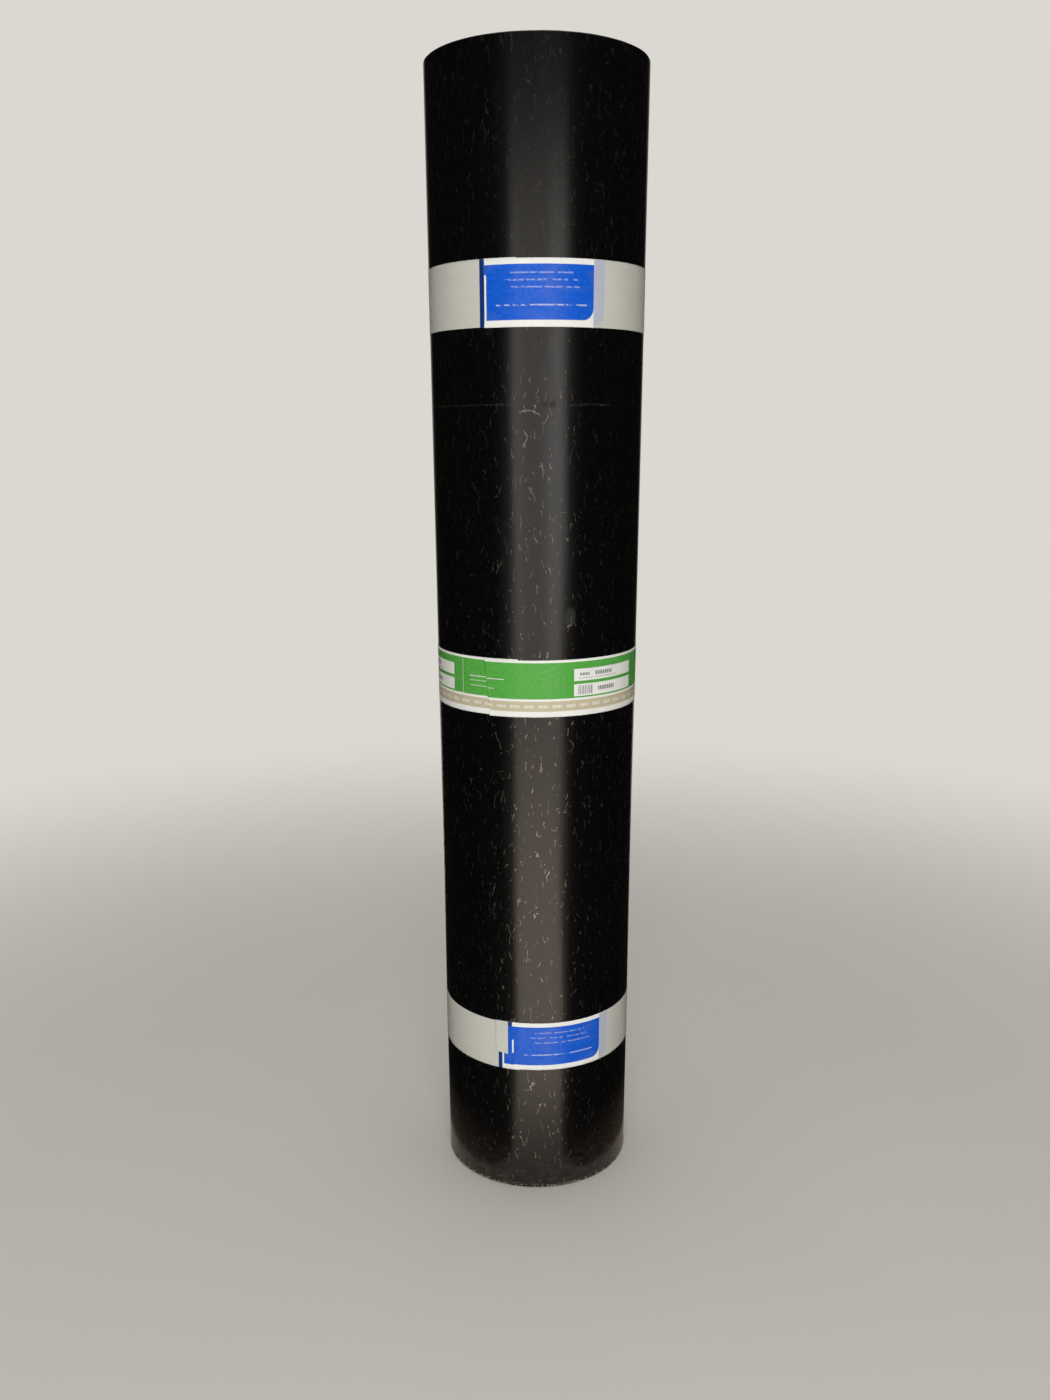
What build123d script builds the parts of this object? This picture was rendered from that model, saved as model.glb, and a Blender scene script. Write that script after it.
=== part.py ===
from build123d import *
import os
from math import acos, cos, degrees, radians, sin

# Roll of roofing felt standing on end: one sheet wound on itself round an open bore,
# held shut by three printed bands. Millimetres, +Z up, origin at the bore's axis on the floor.
#
# The winding is a spiral of half turns. Seen from above, one half of the roll is turned
# about an axis a quarter of a sheet to one side of the bore's, and the other half about
# one as far to the other side, on rings half a sheet wider. Where the halves meet, each
# ring runs on into the next, so the seam between the turns is one line from the bore out.

# The felt sheet
sheet_width = 1000.0  # the roll's height as it stands
sheet_thickness = 3.0
turn_count = 21

# The bore that the winding mandrel left
bore_diameter = 54.0

# The direction, from +X, of the line where the sheet's outer end lies
seam_angle = 30.0

# The cut edges of the sheet. At the top each turn is a low ridge between two seams.
# On the floor the roll's weight has pressed the turns flat, with a notch at each seam.
ridge_fall = 0.6
notch_depth = 0.6
notch_width = 1.0

# The three bands
band_width = 50.0
band_thickness = 0.2
upper_band_drop = 153.0  # from the top end down to the upper band
middle_band_rise = 6.0  # of the middle band's middle above the roll's middle
lower_band_height = 132.0  # from the floor up to the lower band

# Where a band's outer end is glued down over its start
band_lap_angle = 242.0
band_lap_length = 28.0

bore_radius = bore_diameter / 2
axis_offset = sheet_thickness / 4
half_turn_growth = sheet_thickness / 2
felt_radius = bore_radius + axis_offset + turn_count * sheet_thickness


def polar(radius, angle, centre=0.0):
    """The point at this distance and angle from a centre on the X axis."""
    return (centre + radius * cos(radians(angle)), radius * sin(radians(angle)))


def felt_profile(growth):
    """The felt cut from its axis outwards, with the edges of its turns at both ends.

    It starts two turns inside the bore's wall, so that the bore cuts through it all round.
    """
    seams = [felt_radius - turn * sheet_thickness + growth for turn in range(turn_count + 3)]
    floor_edge = [(seams[0], notch_depth)]
    for seam in seams[1:-1]:
        floor_edge += [
            (seam + sheet_thickness - notch_width / 2, 0),
            (seam + notch_width / 2, 0),
            (seam, notch_depth),
        ]
    top_edge = []
    for seam in reversed(seams[1:-1]):
        top_edge += [
            (seam, sheet_width - ridge_fall),
            (seam + sheet_thickness / 2, sheet_width),
        ]
    top_edge.append((seams[0], sheet_width - ridge_fall))
    outline = Polyline(*floor_edge, *top_edge, close=True)
    return Plane.XZ * make_face(outline)


def half_roll(centre, growth, arc):
    """Half of the winding, turned through this arc about an axis at this place on X."""
    turned = revolve(felt_profile(growth), Axis.Z, arc)
    return Pos(centre, 0, 0) * turned


def felt_roll():
    """The wound felt with its bore. The step on its outside is the sheet's outer end."""
    winding = half_roll(-axis_offset, 0.0, 180) + half_roll(axis_offset, half_turn_growth, -180)
    bore = extrude(Circle(bore_radius), sheet_width)
    return winding - bore


def wrap_outline(lift):
    """A band's line, pulled tight round the felt and this far off its surface.

    From the sheet's outer end it runs straight on to where it touches the turn beneath.
    """
    small_radius = felt_radius + lift
    large_radius = small_radius + half_turn_growth
    edge = polar(large_radius, 0, axis_offset)
    far_side = polar(large_radius, 180, axis_offset)
    touch_angle = degrees(acos(small_radius / (edge[0] + axis_offset)))
    touch = polar(small_radius, touch_angle, -axis_offset)
    outline = [
        Line(edge, touch),
        CenterArc((-axis_offset, 0), small_radius, touch_angle, 180 - touch_angle),
        ThreePointArc(far_side, polar(large_radius, 270, axis_offset), edge),
    ]
    return make_face(outline)


def lap_section():
    """The second layer of a band, where its end lies over its start."""
    centre = (axis_offset, 0)
    inner_radius = felt_radius + half_turn_growth + band_thickness
    outer_radius = inner_radius + band_thickness
    start = band_lap_angle - seam_angle
    arc = degrees(band_lap_length / outer_radius)
    edges = [
        CenterArc(centre, inner_radius, start, arc),
        CenterArc(centre, outer_radius, start, arc),
    ]
    for angle in (start, start + arc):
        inner_end = polar(inner_radius, angle, axis_offset)
        outer_end = polar(outer_radius, angle, axis_offset)
        edges.append(Line(inner_end, outer_end))
    return make_face(edges)


def band(height):
    """One printed band glued round the roll, with its lower edge at this height."""
    section = wrap_outline(band_thickness) - wrap_outline(0.0) + lap_section()
    return Pos(0, 0, height) * extrude(section, band_width)


pieces = {
    "felt_roll": felt_roll(),
    "upper_band": band(sheet_width - upper_band_drop - band_width),
    "middle_band": band(sheet_width / 2 + middle_band_rise - band_width / 2),
    "lower_band": band(lower_band_height),
}

os.makedirs("parts", exist_ok=True)
for name, shape in pieces.items():
    export_step(Rot(0, 0, seam_angle) * shape, f"parts/{name}.step")
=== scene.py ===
import math

import bpy
import numpy as np
from bpy.props import FloatProperty, FloatVectorProperty, IntProperty, PointerProperty
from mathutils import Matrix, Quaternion, Vector


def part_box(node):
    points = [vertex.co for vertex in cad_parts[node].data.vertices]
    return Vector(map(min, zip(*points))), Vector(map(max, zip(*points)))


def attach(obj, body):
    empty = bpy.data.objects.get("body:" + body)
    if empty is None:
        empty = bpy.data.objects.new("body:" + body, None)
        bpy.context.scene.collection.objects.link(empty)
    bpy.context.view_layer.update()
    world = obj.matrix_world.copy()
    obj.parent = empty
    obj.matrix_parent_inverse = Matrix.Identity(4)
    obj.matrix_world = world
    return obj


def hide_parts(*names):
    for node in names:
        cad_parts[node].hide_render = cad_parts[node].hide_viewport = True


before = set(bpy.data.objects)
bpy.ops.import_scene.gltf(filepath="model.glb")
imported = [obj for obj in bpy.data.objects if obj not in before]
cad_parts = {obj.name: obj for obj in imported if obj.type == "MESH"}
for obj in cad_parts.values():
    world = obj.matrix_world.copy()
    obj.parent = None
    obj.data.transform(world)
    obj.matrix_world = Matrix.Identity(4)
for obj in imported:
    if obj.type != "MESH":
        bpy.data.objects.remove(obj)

bl_info = {
    "name": "Roll of roofing felt",
    "version": (1, 0, 0),
    "blender": (4, 5, 0),
    "location": "3D View > Sidebar > Felt",
    "description": "Builds a standing roll of torch-on roofing felt with three printed bands",
    "category": "Object",
}

MM = 0.001
TURN = 2 * np.pi
SECTORS = 240  # steps to a turn
FLAP_SECTORS = 25  # of the loose stretch at the sheet's outer end
MERGED_WITHIN = 2e-6  # metres
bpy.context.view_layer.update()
ROLL_LOW, ROLL_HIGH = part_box("felt_roll")


# Sizes and colours


def length(name, description, millimetres):
    """A length property. It is stored in metres."""
    return FloatProperty(
        name=name, description=description, default=millimetres * MM,
        min=0.0, max=2.0, precision=5, subtype="DISTANCE", unit="LENGTH",
    )


def turned(name, description, degrees):
    """An angle property. It is stored in radians."""
    return FloatProperty(
        name=name, description=description, default=math.radians(degrees),
        subtype="ANGLE", unit="ROTATION",
    )


def power(name, description, watts):
    """A property for a lamp's power in watts."""
    return FloatProperty(name=name, description=description, default=watts, min=0.0, max=2000.0)


def linear(red, green, blue):
    """A colour given by its screen values from 0 to 255, as the linear values that shaders take."""
    screen = np.array([red, green, blue]) / 255
    return tuple(np.where(screen < 0.04045, screen / 12.92, ((screen + 0.055) / 1.055) ** 2.4))


def shade_of(tone, factor, added=0.0):
    """A darker or lighter shade of a linear colour."""
    return tuple(min(1.0, factor * channel + added) for channel in tone)


def colour(name, description, red, green, blue):
    """A colour property, written by its screen values."""
    return FloatVectorProperty(
        name=name, description=description, default=linear(red, green, blue),
        size=3, min=0.0, max=1.0, subtype="COLOR",
    )


class FeltSettings(bpy.types.PropertyGroup):
    """Sizes and colours of the wound felt."""

    height: length("Sheet width", "Height of the roll as it stands", (ROLL_HIGH.z - ROLL_LOW.z) / MM)
    thickness: length("Thickness", "Thickness of the felt, and the step from turn to turn", 3.0)
    turns: IntProperty(name="Turns", description="Whole turns round the bore", default=21, min=1)
    bore: length("Bore", "Diameter of the open bore", 54.0)
    seam: turned("Outer end", "Direction of the sheet's outer end, from +X", 30.0)
    unevenness: length("Unevenness", "How far single turns stand out at the top end", 0.55)
    groove: length("Groove", "Depth of the seam between two turns at the top end", 1.7)
    lift: length("Outer end lift", "How far the outer end stands off between the bands", 1.1)
    film: colour("Film", "The glossy film on the outside", 6, 6, 6)
    mark: colour("Marks", "Wrinkles and blisters where the film has come off the bitumen", 214, 210, 205)
    edge: colour("Cut edge", "Bitumen at the cut ends of the sheet", 38, 34, 31)
    sand: colour("Sand", "Sanded face of the felt, seen in the bore", 112, 106, 96)


class BandSettings(bpy.types.PropertyGroup):
    """Sizes and colours of the three printed bands."""

    thickness: length("Tape thickness", "Thickness of the printed tape", 0.2)
    lap: length("Lap", "How far the tape's outer end lies over its start", 28.0)
    repeat: length("Repeat", "Length of one repeat of the print", 202.0)
    cream: colour("Ground", "Unprinted ground of the blue bands", 202, 201, 192)
    blue: colour("Panel", "Blue panel", 0, 84, 197)
    navy: colour("Stripe", "Dark blue stripe", 10, 50, 118)
    lilac: colour("Shadow", "Pale shadow beside the panel", 182, 187, 202)
    green: colour("Green", "Ground of the green band", 78, 160, 62)
    tan: colour("Lower strip", "Strip along the lower edge of the green band", 196, 184, 156)
    white: colour("White", "Lines, boxes and edges", 236, 236, 231)


class StageSettings(bpy.types.PropertyGroup):
    """Colours and lamps of the plain studio."""

    floor: colour("Floor", "Pale floor and backdrop", 219, 216, 210)
    # Painted reflection: the floor's glow as the film shows it, warmer and brighter than the floor itself
    mirrored: colour("Floor in reflections", "The floor as the glossy film shows it", 255, 237, 217)
    front: power("Front screen", "Power of the wide screen that the film reflects, in watts", 3.7)
    key: power("Key light", "Power of the soft light in front, in watts", 34.0)
    fill: power("Fill light", "Power of the soft light overhead, in watts", 32.0)


# Linear colours of small features
# Brown at the film's foot: dust, and a painted reflection of a brown floor
DUST_AND_FLOOR_REFLECTION = (0.09, 0.07, 0.055)
CARRIER = (0.17, 0.155, 0.135)
GRIME = (0.33, 0.31, 0.27)
PRINT_BLACK = (0.08, 0.08, 0.08)
TAPE_BACK = ((0.62, 0.61, 0.57), (0.74, 0.73, 0.69))
CLOTH = ((0.003, 0.003, 0.003), (0.006, 0.006, 0.005))
DEEP_SHADE = (0.1, 0.075, 0.055)


# Meshes from arrays


def cells(rows, columns, first=0):
    """Quads of a grid whose points are stored row after row. first is the number of its first point."""
    row, column = np.meshgrid(np.arange(rows - 1), np.arange(columns - 1), indexing="ij")
    here = first + row * columns + column
    above = here + columns
    return np.stack([here, here + 1, above + 1, above], axis=-1).reshape(-1, 4)


def make_piece(name, points, faces, places, numbers, materials):
    """A smooth mesh object from arrays of points and quads.

    places holds each point's place on its sheet in millimetres, and numbers each quad's material number.
    Points that lie on one another are merged, and quads that this flattens become triangles or vanish.
    """
    rounded = np.round(points / MERGED_WITHIN).astype(np.int64)
    keys, first, merged = np.unique(rounded, axis=0, return_index=True, return_inverse=True)
    corners = merged.reshape(-1)[faces]
    kept = corners != np.roll(corners, -1, axis=1)
    count = kept.sum(1)
    solid = count > 2
    starts = np.concatenate([[0], np.cumsum(count[solid])])
    mesh = bpy.data.meshes.new(name)
    mesh.vertices.add(len(keys))
    mesh.vertices.foreach_set("co", points[first].astype(np.float32).ravel())
    mesh.loops.add(int(starts[-1]))
    mesh.polygons.add(int(solid.sum()))
    inside = kept[solid]
    mesh.loops.foreach_set("vertex_index", corners[solid][inside].astype(np.int32))
    mesh.polygons.foreach_set("loop_start", starts[:-1].astype(np.int32))
    mesh.polygons.foreach_set("material_index", numbers[solid].astype(np.int32))
    mesh.polygons.foreach_set("use_smooth", np.ones(int(solid.sum()), bool))
    sheet = mesh.uv_layers.new(name="sheet")
    sheet.data.foreach_set("uv", places[faces[solid]][inside].astype(np.float32).ravel())
    for material in materials:
        mesh.materials.append(material)
    mesh.update(calc_edges=True)
    if mesh.validate():
        raise RuntimeError(f"{name}: the mesh had faults")
    piece = bpy.data.objects.new(name, mesh)
    bpy.context.scene.collection.objects.link(piece)
    return piece


def smooth_step(value, low, high):
    """0 below low, 1 above high, and an S-shaped rise between."""
    t = np.clip((value - low) / (high - low), 0, 1)
    return t * t * (3 - 2 * t)


def ripple(seed, waves, along, up, size):
    """A smooth random surface: a sum of cosine waves of random direction and phase, with this usual height.

    along and up are coordinates of any like shape. waves lists pairs of wave numbers along and up.
    """
    draw = np.random.default_rng(seed)
    total = 0.0
    for across, upright in waves:
        phase = draw.uniform(0, TURN)
        total = total + draw.normal() * np.cos(across * along + upright * up * draw.uniform(0.6, 1.4) + phase)
    return total * size / math.sqrt(len(waves))


# The winding


class Winding:
    """The spiral of the felt, in metres. Its turning angle counts from the first turn's start at the bore.

    The outside of the sheet at a turning angle lies at the bore's radius, plus one thickness for each whole
    turn, plus the climb within the turn. The climb follows two half circles about axes a quarter of a
    thickness to either side of the bore's: t/4 (1 - cos) on the first half, and t/4 (3 + cos) on the second.
    """

    def __init__(self, felt):
        self.felt = felt
        self.t = felt.thickness
        self.bore = felt.bore / 2
        self.end = (felt.turns + 1) * TURN
        self.flap = FLAP_SECTORS * TURN / SECTORS

    def outside(self, angle):
        """Radius of the sheet's outer face, without its unevenness."""
        turn = np.floor(np.minimum(angle, self.end - 1e-9) / TURN)
        within = np.minimum(angle, self.end) - turn * TURN
        climb = np.where(within < np.pi, 1 - np.cos(within), 3 + np.cos(within)) * self.t / 4
        return self.bore + turn * self.t + climb

    def undulation(self, angle, height):
        """The sheet isn't wound quite true: broad shallow waves, longer up the roll than round it."""
        wide_waves = [(2, 1.1), (3, 2.3), (5, 1.7), (7, 2.9), (10, 2.1)]
        narrow_waves = [(13, 3.7), (18, 3.1), (25, 5.3), (33, 4.1)]
        wide = ripple(11, wide_waves, angle, height * 3, 0.13 * MM)
        narrow = ripple(12, narrow_waves, angle, height * 4, 0.035 * MM)
        return (wide + narrow) * smooth_step(angle, 0.1, 1.5)

    def lifted(self, angle, height):
        """How far the outer end stands off the turn beneath: most at the edge, none where a band holds it."""
        near = np.clip(1 - (self.end - angle) / self.flap, 0, 1)
        free = np.ones_like(height)
        for node in ("upper_band", "middle_band", "lower_band"):
            low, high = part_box(node)
            middle, half = (low.z + high.z) / 2, (high.z - low.z) / 2
            free = free * smooth_step(np.abs(height - middle), half, half + 0.13)
        corner = 1 + 1.8 * smooth_step(0.09 - height, 0, 0.09) + 0.7 * smooth_step(height - 0.93, 0, 0.07)
        wave = 1 + 0.35 * np.sin(height * 23 + 1.0)
        return near * 0.15 * MM + near ** 2 * self.felt.lift * free * corner * wave

    def face(self, angle, height):
        """Radius of the outer face with its waves, the outer end's lift and the bead at the foot."""
        base = self.outside(angle) + self.undulation(angle, height)
        return base + self.lifted(angle, height) + self.bead(angle, height)

    def bead(self, angle, height):
        """Film and soft bitumen pressed out at the foot: a small bulge in the lowest few millimetres."""
        size = 0.22 + 0.5 * ripple(21, [(9, 0), (17, 0), (31, 0), (47, 0)], angle, 0 * angle, 0.5)
        return np.clip(size, 0, 0.75) * MM * np.exp(-((height - 1.1 * MM) / (1.3 * MM)) ** 2)

    def under(self, angle, height):
        """Radius of the inner face, which is the outer face of the turn before, or the bore's wall."""
        before = angle - TURN
        inner = self.outside(np.maximum(before, 0)) + self.undulation(before, height)
        return np.where(before > 0, inner, self.bore) + self.lifted(angle, height)

    def place(self, angle, radius, height):
        """Points in space, for arrays of turning angle, radius and height."""
        azimuth = angle + self.felt.seam
        x, y = radius * np.cos(azimuth), radius * np.sin(azimuth)
        return np.stack(np.broadcast_arrays(x, y, height), axis=-1)

    def length_to(self, angle):
        """Length of sheet from the bore to a turning angle: the mean radius so far times the angle."""
        return angle * (self.bore + self.t * angle / TURN / 2)


ACROSS = np.array([0.0, 0.12, 0.35, 0.65, 0.88, 1.0])
EDGE_FALL = 0.8 * MM
BORE_ROWS = 13


def seam_level(winding, angle, depth):
    """How deep the sheet's outer corner lies below the end of the roll, or above the floor.

    It is the seam's depth between two turns, and the small rounding of a free edge at the bore and outside.
    """
    last_turn = winding.end - TURN
    free = 1 - smooth_step(angle, 0, 0.1) + smooth_step(angle, last_turn - 0.1, last_turn)
    return depth + (EDGE_FALL - depth) * free


def cut_end(winding, height, depth, crest):
    """The sheet's cut edge at one end, as a ribbon along the spiral: radius and fall from the end.

    Across the sheet the edge is a crown, 1 - |2v - 1| to the power 3.5, that rises from the seam at either
    side to the crest. crest gives the fall of the crown's top along the spiral.
    """
    angle = np.linspace(0, winding.end, (winding.felt.turns + 1) * SECTORS + 1)
    level = np.full_like(angle, height)
    inner = winding.under(angle, level)
    outer = winding.face(angle, level)
    width = outer - inner
    radius = inner[:, None] + ACROSS * width[:, None]
    before = seam_level(winding, np.maximum(angle - TURN, 0), depth)
    inner_level = np.where(angle > TURN - 1e-9, before, EDGE_FALL)
    outer_level = seam_level(winding, angle, depth)
    crown = (1 - np.abs(2 * ACROSS - 1) ** 3.5) * np.clip(width / MM, 0, 1)[:, None]
    ramp = inner_level[:, None] * (1 - ACROSS) + outer_level[:, None] * ACROSS
    return angle, radius, ramp * (1 - crown) + crest(angle)[:, None] * crown


def winding_piece(felt, materials):
    """The whole felt as one closed mesh: the outside, the spiral ends, the bore and the lifted outer end."""
    winding = Winding(felt)
    height = felt.height
    parts = []

    def add(points, place, number, flip=False):
        rows, columns = points.shape[:2]
        faces = cells(rows, columns)
        if flip:
            faces = faces[:, ::-1]
        parts.append((points.reshape(-1, 3), faces, place.reshape(-1, 2) / MM, np.full(len(faces), number)))

    def top_crest(angle):
        slow_waves = [(0.021, 0), (0.047, 0), (0.09, 0), (0.31, 0), (0.83, 0)]
        slow = ripple(31, slow_waves, angle, 0 * angle, felt.unevenness)
        fine = ripple(32, [(3, 0), (7, 0), (19, 0), (43, 0)], angle, 0 * angle, 0.07 * MM)
        return 0.25 * MM + np.clip(-slow - fine, -0.9 * MM, 1.5 * MM)

    ends = {}
    for side, end_height, depth, crest in (
        ("top", height, felt.groove, top_crest),
        ("foot", 0.0, 0.9 * MM, lambda angle: 0 * angle),
    ):
        angle, radius, fall = cut_end(winding, end_height, depth, crest)
        level = height - fall if side == "top" else fall
        along = winding.length_to(angle)
        place = np.stack(np.broadcast_arrays(along[:, None], ACROSS * felt.thickness), axis=-1)
        add(winding.place(angle[:, None], radius, level), place, 1, flip=side == "foot")
        ends[side] = level

    # The outside, round once. It starts in the gap beneath the outer end and comes back along its inner face.
    spiral = np.linspace(0, winding.end, (felt.turns + 1) * SECTORS + 1)
    last = len(spiral) - 1
    outward = np.arange(last - SECTORS - FLAP_SECTORS, last + 1)
    back = np.arange(last, last - FLAP_SECTORS - 1, -1)
    fine = np.array([0, 0.4, 0.9, 1.5, 2.2, 3.2, 4.6, 7, 11]) * MM
    middle = np.linspace(19 * MM, height - 12 * MM, 84)
    rows = np.concatenate([fine, middle, height - np.array([6, 3, 1.4, 0.5, 0]) * MM])[:, None]

    def wall(radius, angle, low, high, place, number, flip=False, levels=rows):
        points = winding.place(angle, radius, low + (high - low) * levels / height)
        add(points, np.stack(np.broadcast_arrays(place, levels), axis=-1), number, flip)

    foot, top = ends["foot"], ends["top"]
    angle = spiral[outward][None, :]
    wall(winding.face(angle, rows), angle, foot[outward, -1], top[outward, -1], along[outward], 0)
    near, far = winding.under(spiral[last:], rows), winding.face(spiral[last:], rows)
    across = ACROSS[::-1]
    edge = near + (far - near) * across
    wall(edge, winding.end, foot[last, ::-1], top[last, ::-1], across * felt.thickness, 1)
    angle = spiral[back][None, :]
    wall(winding.under(angle, rows), angle, foot[back, 0], top[back, 0], along[back], 2)
    first = np.arange(SECTORS + 1)
    angle = spiral[first][None, :]
    levels = np.linspace(0, height, BORE_ROWS)[:, None]
    bore_wall = np.full_like(angle, winding.bore)
    wall(bore_wall, angle, foot[first, 0], top[first, 0], angle * winding.bore, 2, flip=True, levels=levels)

    points, faces, places, numbers = zip(*parts)
    counts = np.cumsum([0] + [len(group) for group in points])
    faces = [group + count for group, count in zip(faces, counts)]
    joined = (np.concatenate(groups) for groups in (points, faces, places, numbers))
    return make_piece("wound_felt", *joined, materials)


# The printed bands


class Tape:
    """One printed band: a strip of tape from its free outer end, once round, to its start underneath.

    The place along it is the arc round the roll in millimetres, 0 at the front and growing to the right. The
    points lie close in a fine zone about the lap, and the free end's ragged line is eased out behind it.
    """

    radius = 92.0
    start = -44.8
    fine_zone, eased_zone = 64, 46

    def __init__(self, felt, band, node, slip, free_end, drift, seed):
        self.winding = Winding(felt)
        self.low, self.high = (corner.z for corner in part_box(node))
        self.thickness = band.thickness
        self.lap = band.lap / MM
        self.repeat = band.repeat / MM
        self.slip, self.free_end, self.drift, self.seed = slip, free_end, drift, seed
        self.round = TURN * self.radius

    def arcs(self, across):
        """Places along the tape, from the ragged free end on, with a row for each place across it."""
        lap_zone = np.arange(0, self.fine_zone, 0.9)
        rest = np.linspace(self.fine_zone, self.round - 6, 226)
        tail = np.linspace(self.round - 4, self.round + self.lap, 24)
        base = np.concatenate([lap_zone, rest, tail])[None, :]
        shift = self.free_end(across)[:, None] - self.start
        return self.start + base + shift * np.clip(1 - base / self.eased_zone, 0, 1)

    def felt_radius(self, arc, height):
        """The felt's surface under the tape, with the straight run from the outer end to the turn beneath."""
        winding = self.winding
        azimuth = 1.5 * np.pi + arc / self.radius
        local = (azimuth - winding.felt.seam) % TURN
        angle = winding.end - TURN + local
        skin = winding.face(angle, height)
        reach = 0.26
        edge = winding.face(np.full_like(height, winding.end), height)
        touch = winding.face(np.full_like(height, winding.end - TURN + reach), height)
        over, along = touch * np.cos(reach) - edge, touch * np.sin(reach)
        chord = edge * along / (np.cos(local) * along - np.sin(local) * over)
        return azimuth, np.where(local < reach, chord, skin)

    def crumple(self, arc, across):
        """Small wrinkles about the lap: narrow ridges that slant a little and fade to both sides."""
        draw = np.random.default_rng(self.seed)
        total = 0.0
        for _ in range(9):
            centre, level = draw.uniform(-42, 16), draw.uniform(4, 46)
            slope, reach, width = draw.uniform(-0.35, 0.35), draw.uniform(5, 14), draw.uniform(0.8, 1.8)
            line = (across - level - slope * (arc - centre)) / width
            total = total + draw.uniform(0.05, 0.17) * np.exp(-line ** 2 - ((arc - centre) / reach) ** 2)
        return total * MM

    def layers(self):
        """Outer and inner face of the tape as grids of points, and the place of each point in the print."""
        across = np.linspace(0, (self.high - self.low) / MM, 34)
        arc = self.arcs(across)
        across = across[:, None]
        height = self.low + across * MM + self.drift * MM * (arc / self.round - 0.5)
        azimuth, felt = self.felt_radius(arc, self.low + across * MM + 0 * arc)
        past = arc - self.start
        over = 1 - smooth_step(past, self.lap, self.lap + 7)
        from_edge = arc - self.free_end(across)
        curl = 0.35 * np.exp(-from_edge / 2.5) + 0.9 * np.exp(-from_edge / 3.5) * np.exp(-(across / 5) ** 2)
        stand = 0.04 * MM + over * 1.25 * self.thickness + curl * MM * over
        stand = stand + self.crumple(arc, across) * smooth_step(self.round - 10 - past, 0, 20)

        def at(radius):
            return np.stack([radius * np.cos(azimuth), radius * np.sin(azimuth), height], axis=-1)

        # At the back the print is stretched by a few percent, so that it meets itself at the lap.
        closing = 3 * self.repeat - self.slip - self.round
        printed = arc + closing * np.clip((arc - 130) / (self.round - 260), 0, 1)
        place = np.stack(np.broadcast_arrays(printed, across), axis=-1)
        return at(felt + stand + self.thickness), at(felt + stand), place


def tape_piece(name, tape, materials):
    """A closed mesh of one band: the printed face, the glued face and the thin edges between them."""
    outer, inner, place = tape.layers()
    rows, columns = outer.shape[:2]
    printed = cells(rows, columns)
    glued = cells(rows, columns, first=rows * columns)[:, ::-1]
    rim = np.concatenate([
        np.arange(columns), np.arange(1, rows) * columns + columns - 1,
        (rows - 1) * columns + np.arange(columns - 2, -1, -1), np.arange(rows - 2, 0, -1) * columns,
    ])
    beside = np.roll(rim, -1)
    edges = np.stack([rim, rim + rows * columns, beside + rows * columns, beside], axis=-1)
    points = np.concatenate([outer.reshape(-1, 3), inner.reshape(-1, 3)])
    places = np.tile(place.reshape(-1, 2), (2, 1))
    faces = np.concatenate([printed, glued, edges])
    numbers = np.concatenate([np.zeros(len(printed)), np.ones(len(glued) + len(edges))])
    return make_piece(name, points, faces, places, numbers, materials)


# Node formulas


class Formula:
    """A number worked out by shader nodes. Sums, products and comparisons add the nodes they need."""

    def __init__(self, tree, socket):
        self.tree, self.socket = tree, socket

    def __add__(self, other):
        return reckon(self.tree, "ADD", self, other)

    def __sub__(self, other):
        return reckon(self.tree, "SUBTRACT", self, other)

    def __rsub__(self, other):
        return reckon(self.tree, "SUBTRACT", other, self)

    def __mul__(self, other):
        return reckon(self.tree, "MULTIPLY", self, other)

    def __abs__(self):
        return reckon(self.tree, "ABSOLUTE", self)

    def __mod__(self, other):
        return reckon(self.tree, "FLOORED_MODULO", self, other)

    __radd__, __rmul__ = __add__, __mul__


def feed(tree, socket, value):
    """Links a formula to a socket, or sets the socket's own value."""
    if isinstance(value, Formula):
        tree.links.new(value.socket, socket)
    else:
        socket.default_value = value


def reckon(tree, operation, *values):
    """One Math node."""
    node = tree.nodes.new("ShaderNodeMath")
    node.operation = operation
    for socket, value in zip(node.inputs, values):
        feed(tree, socket, value)
    return Formula(tree, node.outputs[0])


def highest(*values):
    """The largest of several formulas or numbers. The first is a formula."""
    largest = values[0]
    for value in values[1:]:
        largest = reckon(largest.tree, "MAXIMUM", largest, value)
    return largest


def rise(value, low, high):
    """0 below low, 1 above high, and an S-shaped rise between. With high below low it falls."""
    node = value.tree.nodes.new("ShaderNodeMapRange")
    node.interpolation_type = "SMOOTHSTEP"
    flipped = high < low
    limits = {
        "From Min": min(low, high), "From Max": max(low, high),
        "To Min": float(flipped), "To Max": float(not flipped),
    }
    for name, number in limits.items():
        node.inputs[name].default_value = number
    feed(value.tree, node.inputs["Value"], value)
    return Formula(value.tree, node.outputs["Result"])


def vector(x, y, z=0.0):
    """A vector of three numbers or formulas."""
    tree = x.tree
    node = tree.nodes.new("ShaderNodeCombineXYZ")
    for socket, value in zip(node.inputs, (x, y, z)):
        feed(tree, socket, value)
    return Formula(tree, node.outputs[0])


def parts_of(value):
    """The three numbers of a vector or colour."""
    node = value.tree.nodes.new("ShaderNodeSeparateXYZ")
    feed(value.tree, node.inputs[0], value)
    return [Formula(value.tree, output) for output in node.outputs]


def noise(place, scale=1.0, detail=2.0, roughness=0.5, distortion=0.0):
    """Smooth noise from 0 to 1 about a half."""
    node = place.tree.nodes.new("ShaderNodeTexNoise")
    feed(place.tree, node.inputs["Vector"], place)
    settings = {"Scale": scale, "Detail": detail, "Roughness": roughness, "Distortion": distortion}
    for name, number in settings.items():
        node.inputs[name].default_value = number
    return Formula(place.tree, node.outputs[0])


def blend(amount, below, above):
    """Below where amount is 0 and above where it is 1. Each is a colour or a colour formula."""
    tree = amount.tree
    node = tree.nodes.new("ShaderNodeMix")
    node.data_type = "RGBA"
    feed(tree, node.inputs["Factor"], amount)
    for name, value in (("A", below), ("B", above)):
        socket = next(s for s in node.inputs if s.name == name and s.type == "RGBA")
        feed(tree, socket, value if isinstance(value, Formula) else (*value, 1.0))
    return Formula(tree, next(s for s in node.outputs if s.type == "RGBA"))


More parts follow.
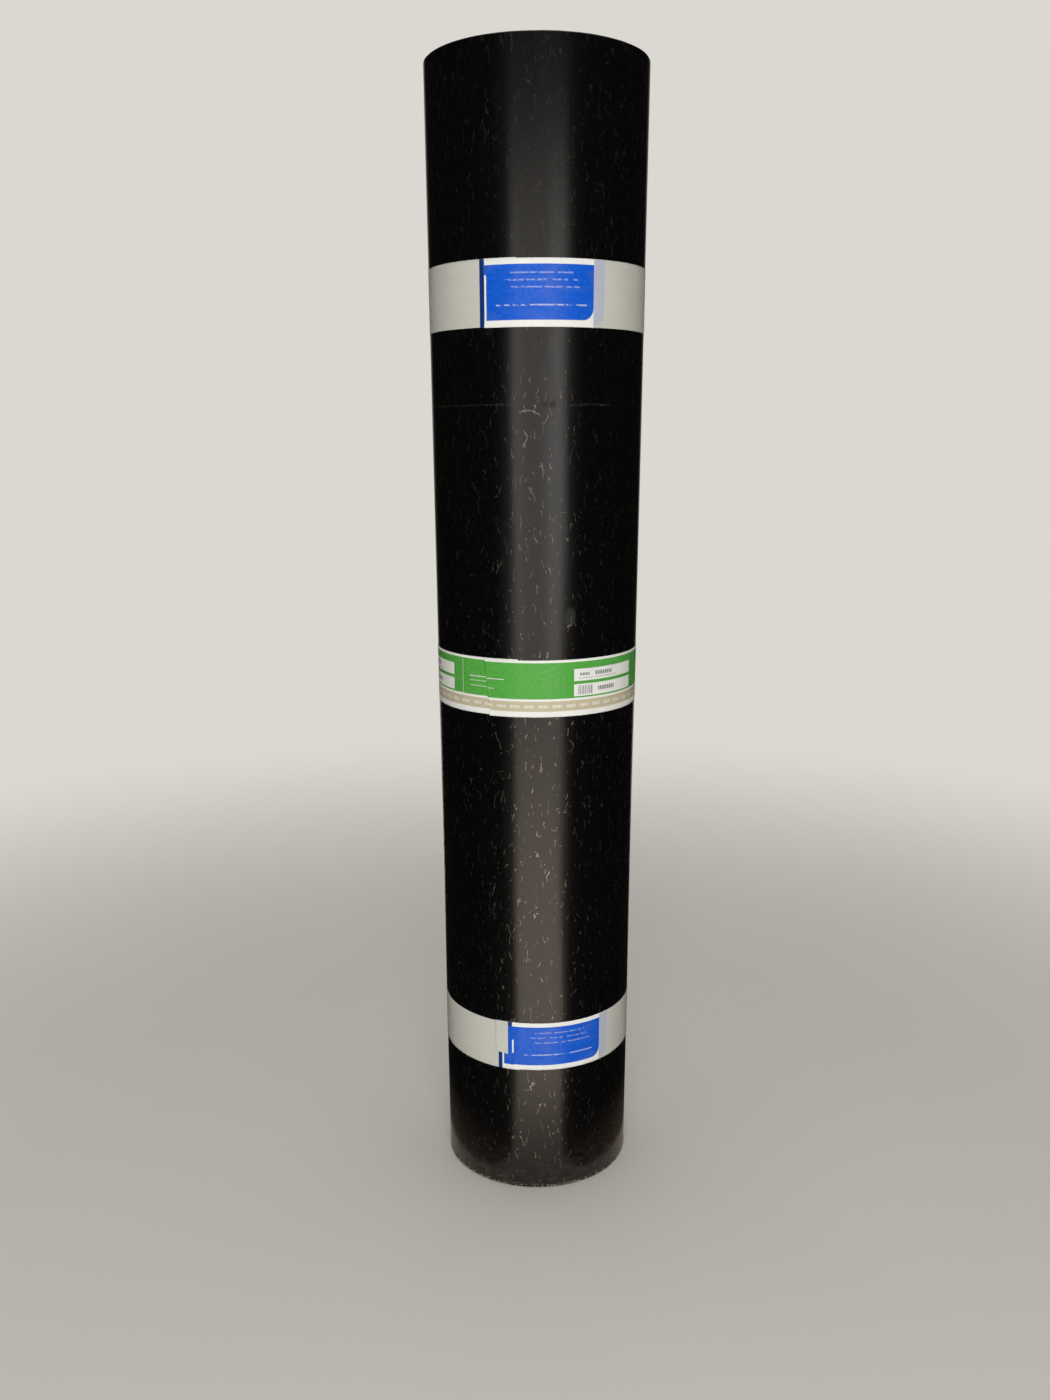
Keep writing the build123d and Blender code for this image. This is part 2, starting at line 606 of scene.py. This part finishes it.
def look(name):
    """A new material: its node tree, its shader, and the place on the sheet in millimetres each way."""
    material = bpy.data.materials.new(name)
    material.use_nodes = True
    tree = material.node_tree
    shader = next(node for node in tree.nodes if node.type == "BSDF_PRINCIPLED")
    sheet = tree.nodes.new("ShaderNodeUVMap")
    sheet.uv_map = "sheet"
    along, across, _ = parts_of(Formula(tree, sheet.outputs[0]))
    return material, tree, shader, along, across


def finish(tree, shader, colour_value, roughness, height=None, **fixed):
    """Sets the shader's sockets. height is in millimetres, and becomes a bump."""
    feed(tree, shader.inputs["Base Color"], colour_value)
    feed(tree, shader.inputs["Roughness"], roughness)
    for socket, number in fixed.items():
        shader.inputs[socket.replace("_", " ")].default_value = number
    if height is not None:
        bump = tree.nodes.new("ShaderNodeBump")
        bump.inputs["Distance"].default_value = MM
        feed(tree, bump.inputs["Height"], height)
        tree.links.new(bump.outputs[0], shader.inputs["Normal"])
        tree.links.new(bump.outputs[0], shader.inputs["Coat Normal"])


# Materials


def strokes(along, across, cell, length, width, chance, lean, seed):
    """Short curved marks, at most one to a cell of a Voronoi pattern, lying mostly up the roll.

    About a cell's centre a mark is a capsule of random length and width, sheared to one side and bent into a
    bow by the square of the height. The result is 0 off the mark, and up to 1 on it, with a soft edge.
    """
    tree = along.tree
    wide, high = cell
    pattern = tree.nodes.new("ShaderNodeTexVoronoi")
    pattern.voronoi_dimensions = "2D"
    pattern.inputs["Scale"].default_value = 1.0
    x, y = along * (1 / wide) + seed * 1.37, across * (1 / high) + seed * 2.11
    feed(tree, pattern.inputs["Vector"], vector(x, y))
    centre_x, centre_y, _ = parts_of(Formula(tree, pattern.outputs["Position"]))
    first, second, third = parts_of(Formula(tree, pattern.outputs["Color"]))
    right, up = (x - centre_x) * wide, (y - centre_y) * high
    bow = (second - 0.5) * up * up * (1.6 / high)
    side = abs(right + up * (first - 0.5) * lean + bow)
    beyond = highest(abs(up) - (third * 0.8 + 0.2) * (length / 2), 0.0)
    distance = reckon(tree, "SQRT", side * side + beyond * beyond)
    edge = (second * 0.9 + 0.45) * width
    inside = rise(distance - edge, 0.35 * width, -0.45 * width)
    strength = (first * 5.7 + second * 3.9) % 1.0 * 0.55 + 0.45
    return inside * strength * rise((first * 7.3 + third * 3.1) % 1.0, chance, chance - 0.05)


def small_wrinkles(along, across, ragged):
    """How pale the scattered wrinkles make the film, from 0 to 1. There are fewer near the top."""
    sway = noise(vector(along * 0.16, across * 0.09), detail=3.0)
    drift = noise(vector(along * 0.12, across * 0.1, 7.0), detail=2.0)
    bent_along, bent_across = along + (sway - 0.5) * 9.0, across + (drift - 0.5) * 9.0
    worms = strokes(bent_along, bent_across, (10.0, 20.0), 15.0, 0.29, 0.26, 0.7, 1.0)
    ticks = strokes(bent_along, bent_across, (6.5, 10.0), 7.0, 0.28, 0.4, 0.8, 2.0)
    hooks = strokes(bent_across, bent_along, (26.0, 19.0), 6.0, 0.34, 0.13, 2.0, 3.0)
    dots = strokes(bent_along, bent_across, (6.0, 6.0), 1.2, 0.42, 0.18, 1.0, 4.0)
    marks = highest(worms, ticks, hooks, dots)
    fewer = 1 - rise(across, 450.0, 930.0) * 0.85
    patchy = rise(noise(vector(along * 0.02, across * 0.013, 5.0), detail=2.0), 0.25, 0.6) * 0.5 + 0.5
    return marks * rise(ragged, 0.2, 0.5) * fewer * patchy


def front_flaws(felt, along, across, ragged):
    """Masks of a level crease, a bowed wrinkle and a dent near it, and a smudge further down, in front."""
    crease_height, bow_height = 739.0, 734.5
    winding = Winding(felt)
    from_front = along - winding.length_to(winding.end - TURN + 1.5 * np.pi - felt.seam) / MM
    crease_line = across - crease_height - (noise(vector(along * 0.05, 0.0)) - 0.5) * 6.0
    reach = rise(from_front, -118.0, -100.0) * rise(from_front, -16.0, -30.0)
    reach = reach + rise(from_front, 20.0, 32.0) * rise(from_front, 72.0, 44.0) * 0.5
    crease = rise(abs(crease_line), 0.8, 0.3) * reach * rise(noise(vector(along * 0.25, 2.0)), 0.42, 0.55)
    bow = (from_front + 6.0) * (1 / 9.5)
    bow_line = across - bow_height + bow * bow * 3.6 + bow * 1.2 + (ragged - 0.5) * 3.0
    bowed = rise(abs(bow_line), 0.7, 0.2) * rise(abs(bow), 1.0, 0.8)
    dent_along, dent_across = from_front + (ragged - 0.5) * 9.0, across + (ragged - 0.5) * 5.0
    dent = box_mask(dent_along, dent_across, (6.0, 738.8), (13.0, 741.2), 3.0)
    smudge_x, smudge_y = (from_front - 29.0) * (1 / 5.5), (across - 567.0) * (1 / 9.0)
    smudge = rise(smudge_x * smudge_x + smudge_y * smudge_y + (ragged - 0.5) * 1.5, 1.2, 0.3)
    return crease, bowed, dent, smudge


def film_look(felt):
    """The torch-off film: black, glossy and uneven, with pale wrinkles where it has come off the bitumen.

    A wrinkle has a silvery glint, so it shows best in the light of the front screen and beside it.
    """
    material, tree, shader, along, across = look("torch_off_film")
    ragged = noise(vector(along, across, 3.0), scale=0.9, detail=3.0)
    pale = small_wrinkles(along, across, ragged)
    crease, bowed, dent, smudge = front_flaws(felt, along, across, ragged)
    tone = noise(vector(along * 0.03, across * 0.004, 9.0), detail=4.0)
    ground = blend(tone, shade_of(felt.film, 0.75), shade_of(felt.film, 1.3))
    # Browner in patches towards the foot: dust, and a painted reflection of a brown floor in the film
    dust_and_reflection = noise(vector(along * 0.08, across * 0.2, 4.0), detail=5.0)
    ground = blend(rise(across, 60.0, 0.0) * rise(dust_and_reflection, 0.4, 0.75) * 0.25, ground, DUST_AND_FLOOR_REFLECTION)
    worn_foot = noise(vector(along * 0.22, across * 0.5, 6.0), detail=3.0)
    glint = rise(across, 4.5, 1.5) * rise(worn_foot, 0.5, 0.62)
    shade = highest(pale, bowed * 0.55, crease * 0.27, smudge * ragged * 0.05, glint)
    surface = blend(shade, ground, felt.mark)
    streak = noise(vector(along * 0.09, across * 0.0022, 1.0), detail=4.0, roughness=0.6)
    fine = noise(vector(along * 0.8, across * 0.35, 2.0), detail=3.0)
    roughness = 0.27 + (streak - 0.5) * 0.24 + (fine - 0.5) * 0.06 + shade * 0.12 + (smudge + dent) * 0.2
    height = pale * 0.045 + (fine - 0.5) * 0.02 + (streak - 0.5) * 0.1 + crease * 0.1 - dent * 0.2
    finish(tree, shader, surface, roughness, height, IOR=1.5, Coat_Weight=1.0, Coat_IOR=1.6)
    feed(tree, shader.inputs["Specular IOR Level"], 0.5 + shade * 0.5)
    feed(tree, shader.inputs["Metallic"], rise(shade - smudge, 0.0, 0.12) * 0.96)
    feed(tree, shader.inputs["Coat Roughness"], 0.2 + shade * 0.14)
    return material


def edge_look(felt):
    """The sheet's cut edge: matt bitumen, its carrier's paler line in the middle, and sand in the seams."""
    material, tree, shader, along, across = look("cut_bitumen")
    torn = noise(vector(along * 0.5, across * 1.6), detail=5.0, roughness=0.65)
    blots = noise(vector(along * 0.05, across * 0.2, 3.0), detail=3.0)
    middle = abs(across - 1.55 + (torn - 0.5) * 0.5)
    carrier = rise(middle, 0.34, 0.12) * rise(blots, 0.35, 0.6) * 0.55
    grit = rise(noise(vector(along * 2.4, across * 2.4, 8.0), detail=1.0), 0.6, 0.72)
    seam = rise(across, 0.6, 0.2) * (0.35 + grit * 0.65)
    ground = blend(blots, shade_of(felt.edge, 0.55), shade_of(felt.edge, 1.5))
    ground = blend(carrier, ground, CARRIER)
    surface = blend(seam * 0.7, ground, felt.sand)
    roughness = 0.62 + (torn - 0.5) * 0.3 + seam * 0.2
    finish(tree, shader, surface, roughness, torn * 0.5 + grit * seam * 0.2, IOR=1.5)
    return material


def sand_look(felt):
    """The sanded face: fine grains pressed into the bitumen."""
    material, tree, shader, along, across = look("sanded_face")
    grains = tree.nodes.new("ShaderNodeTexVoronoi")
    grains.inputs["Scale"].default_value = 1.1
    feed(tree, grains.inputs["Vector"], vector(along, across))
    near = Formula(tree, grains.outputs["Distance"])
    tint, bare, _ = parts_of(Formula(tree, grains.outputs["Color"]))
    patch = noise(vector(along * 0.04, across * 0.03), detail=4.0)
    grain = rise(near, 0.62, 0.25) * rise(bare, 0.25, 0.4) * rise(patch, 0.3, 0.5)
    sand = blend(tint, shade_of(felt.sand, 0.6), shade_of(felt.sand, 1.3))
    surface = blend(grain, shade_of(felt.edge, 0.6), sand)
    finish(tree, shader, surface, 0.92 - grain * 0.1, grain * 0.25 + patch * 0.4, IOR=1.5)
    return material


def past(value, low, high):
    """How far a value lies past either end of a span. It is below 0 inside the span."""
    return abs(value - (low + high) / 2) - (high - low) / 2


def box_mask(along, across, low, high, soft=0.25):
    """1 inside the rectangle between two corners, 0 outside."""
    return rise(highest(past(along, low[0], high[0]), past(across, low[1], high[1])), soft, -soft)


def tape_finish(tree, shader, printed, along, across):
    """Glossy film over the print: fine wrinkles, a little haze, and scuffs along both edges."""
    wrinkle = noise(vector(along * 0.12, across * 0.5), detail=4.0, distortion=0.6)
    fine = noise(vector(along * 0.9, across * 0.9, 5.0), detail=2.0)
    scuff = rise(noise(vector(along * 0.3, across * 0.6, 2.0), detail=5.0), 0.66, 0.74)
    rim = 1 - rise(across, 0.0, 1.6) * rise(across, 50.0, 48.4)
    grime = noise(vector(along * 0.05, across * 0.08, 9.0), detail=4.0)
    aged = blend(rise(grime, 0.45, 0.8) * 0.1 + rim * scuff * 0.4, printed, GRIME)
    roughness = 0.3 + (wrinkle - 0.5) * 0.18 + scuff * 0.2
    height = (wrinkle - 0.5) * 0.22 + (fine - 0.5) * 0.02
    coat = {"Coat_Weight": 0.15, "Coat_Roughness": 0.12, "Coat_IOR": 1.5}
    finish(tree, shader, aged, roughness, height, IOR=1.48, **coat)


def blue_look(name, band, stripe_at, line_span, covered):
    """The blue bands' print: a dark stripe, a white line and a panel with one round corner and a shadow.

    On the lap at the front the white line shows over line_span alone, and the panel covers the stripe over
    the heights in covered.
    """
    material, tree, shader, along, across = look(name)
    stripe_width, line_width, panel_width, shadow_width = 4.1, 1.6, 90.2, 100.5
    line_end, panel_end = stripe_width + line_width, stripe_width + panel_width
    below, above = -1.0, 51.0  # past the tape's edges
    x = (along - stripe_at) % (band.repeat / MM)
    soft = 0.22
    stripe = rise(x, stripe_width + soft, stripe_width - soft) * rise(x, -soft, soft)
    on_lap = rise(along, 61.0, 60.0)
    from_height, to_height = line_span
    in_span = rise(across, from_height - 1, from_height) * rise(across, to_height + 1, to_height)
    gap_in_line = on_lap * (1 - in_span)

    def panel(right, bottom, top):
        """1 inside a panel that starts at the stripe and has one round corner, 0 outside."""
        radius = 9.5
        corner_x = highest(x - (right - radius), 0.0)
        corner_y = highest((bottom + radius) - across, 0.0)
        corner = reckon(tree, "SQRT", corner_x * corner_x + corner_y * corner_y) - radius
        return rise(highest(corner, bottom - across, across - top, stripe_width - x, x - right), soft, -soft)

    shadow = panel(stripe_width + shadow_width, 1.6, 49.4)
    body = panel(panel_end, 5.2, 45.7)
    line = box_mask(x, across, (stripe_width, below), (line_end, above)) * (1 - gap_in_line)
    margin = box_mask(x, across, (stripe_width, below), (panel_end, above)) * (1 - body)
    printed = blend(shadow, band.cream, band.lilac)
    printed = blend(margin, printed, band.white)
    worn = noise(vector(along * 0.4, across * 0.4, 6.0), detail=4.0)
    blue = blend(rise(worn, 0.3, 0.8), band.blue, shade_of(band.blue, 1.25, 0.01))
    printed = blend(body, printed, blue)
    printed = blend(stripe, printed, band.navy)
    over = on_lap * box_mask(x, across, (0.0, covered[0]), (line_end, covered[1]))
    printed = blend(over, printed, blue)
    broken = rise(noise(vector(along * 0.24, across * 0.4, 8.0), detail=1.0), 0.4, 0.48)
    rule_height = 1.1
    for level, start, reach, strength in (
        (39.0, 26.0, 76.0, 0.3),
        (33.8, 22.0, 80.0, 0.3),
        (28.6, 26.0, 82.0, 0.3),
        (15.6, 14.0, 88.0, 0.5),
    ):
        rule = box_mask(x, across, (start, level), (reach, level + rule_height), 0.3)
        printed = blend(rule * broken * strength, printed, band.white)
    printed = blend(line, printed, band.white)
    tape_finish(tree, shader, printed, along, across)
    return material


def green_look(name, band, divider_at):
    """The green band's print: a field with a thin divider and two boxes of plain marks, over a tan strip."""
    material, tree, shader, along, across = look(name)
    field_span, strip_span, divider_width = (16.0, 47.8), (5.0, 14.0), 0.6
    box_start, box_end, box_height, box_levels = 119.5, 189.5, 10.6, (30.8, 17.4)
    dash_pitch, block_pitch = 12.5, 2.6
    x = (along - divider_at) % (band.repeat / MM)
    field = rise(past(across, *field_span), 0.25, -0.25)
    strip = rise(past(across, *strip_span), 0.25, -0.25)
    divider = box_mask(x, across, (0.0, 14.0), (divider_width, 47.0))
    boxes = [box_mask(x, across, (box_start, low), (box_end, low + box_height)) for low in box_levels]
    rules = box_mask(x, across, (8.5, 32.6), (57.0, 33.2), 0.15)
    for level, reach in ((28.6, 34.0), (24.0, 48.0)):
        rules = highest(rules, box_mask(x, across, (9.0, level), (reach, level + 0.9), 0.2) * 0.45)
    under = box_mask(x, across, (123.5, 32.8), (166.0, 33.4), 0.15)
    uneven = noise(vector(x * 1.3, 0.0, 12.0), detail=1.0)
    bars = box_mask(x, across, (122.5, 18.8), (138.0, 26.6), 0.2) * rise(uneven, 0.46, 0.54)
    blocks = box_mask(x, across, (124.5, 35.4), (134.5, 37.8), 0.2)
    for start, low, reach, high in ((140.0, 35.0, 160.0, 38.4), (144.0, 21.0, 163.0, 24.6)):
        blocks = highest(blocks, box_mask(x, across, (start, low), (reach, high), 0.2))
    blocks = blocks * rise(abs(x % block_pitch - block_pitch / 2), 1.15, 0.75)
    worn = noise(vector(along * 0.4, across * 0.4, 6.0), detail=4.0)
    green = blend(rise(worn, 0.3, 0.8), band.green, shade_of(band.green, 1.2, 0.01))
    printed = blend(field, band.white, green)
    printed = blend(strip, printed, band.tan)
    dash = (x + 2.0) % dash_pitch
    dashes = box_mask(dash, across, (1.7, 8.1), (10.3, 10.8), 0.3) * rise(abs(dash % 2.2 - 1.1), 0.95, 0.5)
    printed = blend(dashes * 0.7, printed, band.white)
    printed = blend(highest(divider * 0.7, *boxes, rules), printed, band.white)
    printed = blend(highest(under * 0.6, bars * 0.85, blocks * 0.8), printed, PRINT_BLACK)
    tape_finish(tree, shader, printed, along, across)
    return material


def tape_back_look():
    """The unprinted back and the cut edges of the tape."""
    material, tree, shader, along, across = look("tape_back")
    grain = noise(vector(along * 0.6, across * 0.6), detail=3.0)
    finish(tree, shader, blend(grain, *TAPE_BACK), 0.5, grain * 0.05, IOR=1.5)
    return material


# Stage


def revolved(name, radius, height, start, end, steps, material):
    """A surface that carries a profile round the roll's axis between two directions, counted from the front.

    A direction is one angle, or an angle for each point of the profile.
    """
    angle = np.linspace(start, end, steps).reshape(steps, -1)
    across, along = np.sin(angle) * radius, -np.cos(angle) * radius
    points = np.stack(np.broadcast_arrays(across, along, height), axis=-1)
    faces = cells(*points.shape[:2])
    flat = points.reshape(-1, 3)
    piece = make_piece(name, flat, faces, flat[:, :2] / MM, np.zeros(len(faces)), [material])
    return piece


def cloth_look():
    """The black flags that the film reflects. Beside the roll they are brown, like a floor in deep shade."""
    material, tree, shader, along, across = look("black_cloth")
    away = reckon(tree, "SQRT", along * along + across * across)
    weave = noise(vector(along * 0.05, across * 0.05), detail=2.0)
    tone = blend(rise(away, 105.0, 215.0), DEEP_SHADE, blend(weave, *CLOTH))
    finish(tree, shader, tone, 0.9, IOR=1.45, Specular_IOR_Level=0.2)
    return material


def floor_look(stage):
    """The floor and backdrop: matt, lit round the roll and plainly pale further off; the film shows a painted
    glow and shade.
    """
    material, tree, shader, along, across = look("pale_floor")
    cloud = noise(vector(along * 0.004, across * 0.004), detail=2.0)
    tone = blend(cloud, shade_of(stage.floor, 0.985), shade_of(stage.floor, 1.015))
    finish(tree, shader, tone, 0.8, IOR=1.45, Specular_IOR_Level=0.2)
    path = tree.nodes.new("ShaderNodeLightPath").outputs
    kinds = ("Is Camera Ray", "Is Glossy Ray", "Is Transmission Ray")
    camera, glossy, clear = (Formula(tree, path[kind]) for kind in kinds)
    away = reckon(tree, "SQRT", along * along + across * across)
    seen = highest(camera * rise(away, 450.0, 1900.0), glossy, clear)
    # Painted reflection: the film sees the floor glowing, with painted shade within about 400 mm of the roll
    # and dimmer far off
    near = (0.2 + rise(away, 95.0, 400.0) * 0.8) * (1 - rise(away, 900.0, 3200.0) * 0.74)
    glow = tree.nodes.new("ShaderNodeEmission")
    feed(tree, glow.inputs["Color"], blend(glossy, tone, stage.mirrored))
    feed(tree, glow.inputs["Strength"], highest(near, camera))
    mixed = tree.nodes.new("ShaderNodeMixShader")
    feed(tree, mixed.inputs[0], seen)
    tree.links.new(shader.outputs[0], mixed.inputs[1])
    tree.links.new(glow.outputs[0], mixed.inputs[2])
    output = next(node for node in tree.nodes if node.type == "OUTPUT_MATERIAL")
    tree.links.new(mixed.outputs[0], output.inputs["Surface"])
    return material


def facing(direction, roll=0.0):
    """Euler angles that turn an object's -Z along a direction, with its Y up."""
    turn = Vector(direction).to_track_quat("-Z", "Y")
    return (turn @ Quaternion((0, 0, 1), roll)).to_euler()


def lamp(name, place, aim, width, height, power, glossy=True):
    """A rectangular soft light that the camera doesn't see."""
    light = bpy.data.lights.new(name, "AREA")
    light.shape = "RECTANGLE"
    light.size, light.size_y, light.energy = width, height, power
    holder = bpy.data.objects.new(name, light)
    holder.location = place
    direction = np.array(aim, float) - np.array(place, float)
    holder.rotation_euler = facing(direction)
    holder.visible_camera = False
    holder.visible_glossy = glossy
    bpy.context.scene.collection.objects.link(holder)


# Operators


class FELT_OT_wound_felt(bpy.types.Operator):
    """Build the wound felt: its outside, its spiral ends and its bore"""

    bl_idname = "felt.wound_felt"
    bl_label = "Wound felt"

    def execute(self, context):
        felt = context.scene.felt
        piece = winding_piece(felt, [film_look(felt), edge_look(felt), sand_look(felt)])
        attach(piece, "root")
        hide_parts("felt_roll")
        return {"FINISHED"}


class FELT_OT_bands(bpy.types.Operator):
    """Build the three printed bands"""

    bl_idname = "felt.bands"
    bl_label = "Printed bands"

    def execute(self, context):
        felt, band = context.scene.felt, context.scene.felt_bands
        back = tape_back_look()

        def upper_end(across):
            return -44.9 + 0.25 * np.sin(across * 0.9) - 0.8 * smooth_step(across, 38, 50)

        def middle_end(across):
            slant = -43.0 - 0.1 * across
            return slant + 2.4 * np.exp(-((across - 6.0) / 2.2) ** 2) + 0.3 * np.sin(across * 1.1)

        def lower_end(across):
            torn = smooth_step(across, 17.2, 14.6)
            ragged = 0.45 * np.sin(across * 2.1) + 0.3 * np.sin(across * 5.3 + 1)
            return -41.0 + 18.0 * torn + ragged * (0.4 + torn)

        upper = blue_look("blue_print_upper", band, -47.3, (-2.0, 38.0), (60.0, 61.0))
        lower = blue_look("blue_print_lower", band, -28.5, (18.0, 31.0), (14.0, 45.7))
        green = green_look("green_print", band, -86.5)
        for name, node, slot, printed, slip, free_end, drift, seed in (
            ("blue_band_upper", "upper_band", "blue_band", upper, -0.6, upper_end, 0.5, 41),
            ("green_band", "middle_band", "green_band", green, 13.0, middle_end, 0.9, 42),
            ("blue_band_lower", "lower_band", "blue_band", lower, -10.0, lower_end, -0.8, 43),
        ):
            piece = tape_piece(name, Tape(felt, band, node, slip, free_end, drift, seed), [printed, back])
            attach(piece, "root")
            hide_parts(node)
        return {"FINISHED"}


class FELT_OT_studio(bpy.types.Operator):
    """Build the plain floor, the soft lights and the camera"""

    bl_idname = "felt.studio"
    bl_label = "Studio"

    def floor(self, stage):
        """A floor that bends up into a backdrop all round, just below the roll's foot."""
        flat, curve, wall_top, gap = 3.0, 1.4, 5.0, 0.0004
        rings = [0.0, 0.3, 0.8, 1.6, 2.4]
        bend = np.linspace(0, np.pi / 2, 14)
        radius = np.concatenate([rings, flat + curve * np.sin(bend), [flat + curve] * 2])
        height = np.concatenate([0 * np.array(rings), curve - curve * np.cos(bend), [3.0, wall_top]])
        revolved("floor", radius, height - gap, 0, TURN, 97, floor_look(stage))

    def flags(self):
        """Three flags that only the film reflects. They leave one strip of light down the front.

        The side flags lie on the floor and then stand up, and their near edges follow the strip's edges.
        """
        black = cloth_look()
        side_radius = np.array([0.112, 0.14, 0.5, 1.7, 1.7, 1.7])
        side_height = np.array([0.001, 0.001, 0.001, 0.001, 1.1, 2.6])
        top_radius, top_height = np.array([4.2, 4.2]), np.array([1.75, 3.6])
        for name, radius, height, near, far in (
            ("flag_left", side_radius, side_height, [-36, -22, -23, -25, -29, -29], -158),
            ("flag_right", side_radius, side_height, [36, 22, 28, 29, 33, 33], 158),
            ("flag_top", top_radius, top_height, -40, 40),
        ):
            flag = revolved(name, radius, height, np.radians(near), math.radians(far), 40, black)
            for kind in ("camera", "diffuse", "shadow", "transmission"):
                setattr(flag, f"visible_{kind}", False)

    def lamps(self, stage):
        """The screens that the film reflects, the key light, the light overhead and the one behind."""
        lamp("front_screen", (0, -2.7, 0.68), (0, 0, 0.68), 2.8, 1.36, stage.front)
        lamp("front_right", (1.0, -2.65, 0.65), (1.0, 0, 0.65), 0.9, 1.3, stage.front * 0.45)
        lamp("front_left", (-1.05, -2.65, 0.65), (-1.05, 0, 0.65), 0.5, 1.3, stage.front * 0.16)
        lamp("key", (0, -2.3, 0.8), (0, 0, 0.45), 1.2, 1.2, stage.key, glossy=False)
        lamp("overhead", (0, 0.2, 3.4), (0, 0, 0), 2.4, 2.4, stage.fill)
        lamp("back_screen", (0, 2.8, 1.3), (0, 0, 0.8), 1.2, 2.6, 4)

    def world(self, scene):
        """A faint, even, slightly warm light from all sides."""
        world = bpy.data.worlds.new("studio")
        world.use_nodes = True
        ground = world.node_tree.nodes["Background"]
        ground.inputs["Color"].default_value = (1.0, 0.99, 0.97, 1.0)
        ground.inputs["Strength"].default_value = 0.24
        scene.world = world

    def camera(self, scene):
        """The camera in front, a little above the roll's middle and tilted down."""
        sensor_width, focal_pixels, picture_pixels = 36.0, 1209, 1400
        pitch, tilt = math.radians(18.5), math.radians(-0.2)
        camera = bpy.data.cameras.new("camera")
        camera.sensor_width = sensor_width
        camera.lens = focal_pixels / picture_pixels * sensor_width
        camera.shift_y = 0.10
        camera.clip_start, camera.clip_end = 0.02, 60
        holder = bpy.data.objects.new("camera", camera)
        holder.location = (-0.011, -1.131, 0.715)
        holder.rotation_euler = facing((0, math.cos(pitch), -math.sin(pitch)), tilt)
        scene.collection.objects.link(holder)
        scene.camera = holder

    def execute(self, context):
        scene = context.scene
        self.floor(scene.felt_stage)
        self.flags()
        self.lamps(scene.felt_stage)
        self.world(scene)
        scene.view_settings.view_transform = "Standard"
        self.camera(scene)
        return {"FINISHED"}


class FELT_PT_panel(bpy.types.Panel):
    """The roll's settings and the steps that build it"""

    bl_idname = "FELT_PT_panel"
    bl_label = "Roofing felt"
    bl_space_type = "VIEW_3D"
    bl_region_type = "UI"
    bl_category = "Felt"

    def draw(self, context):
        for title, group, steps in (
            ("Felt", "felt", ("felt.wound_felt",)),
            ("Bands", "felt_bands", ("felt.bands",)),
            ("Studio", "felt_stage", ("felt.studio",)),
        ):
            settings = getattr(context.scene, group)
            box = self.layout.box()
            box.label(text=title)
            for key in settings.bl_rna.properties.keys():
                if key not in ("rna_type", "name"):
                    box.prop(settings, key)
            for step in steps:
                box.operator(step)


GROUPS = {"felt": FeltSettings, "felt_bands": BandSettings, "felt_stage": StageSettings}
CLASSES = (*GROUPS.values(), FELT_OT_wound_felt, FELT_OT_bands, FELT_OT_studio, FELT_PT_panel)


def register():
    for kind in CLASSES:
        bpy.utils.register_class(kind)
    for name, group in GROUPS.items():
        setattr(bpy.types.Scene, name, PointerProperty(type=group))


def unregister():
    for name in GROUPS:
        delattr(bpy.types.Scene, name)
    for kind in reversed(CLASSES):
        bpy.utils.unregister_class(kind)


def main():
    """Builds the roll and its studio."""
    register()
    bpy.ops.felt.wound_felt()
    bpy.ops.felt.bands()
    bpy.ops.felt.studio()


if __name__ == "__main__":
    main()
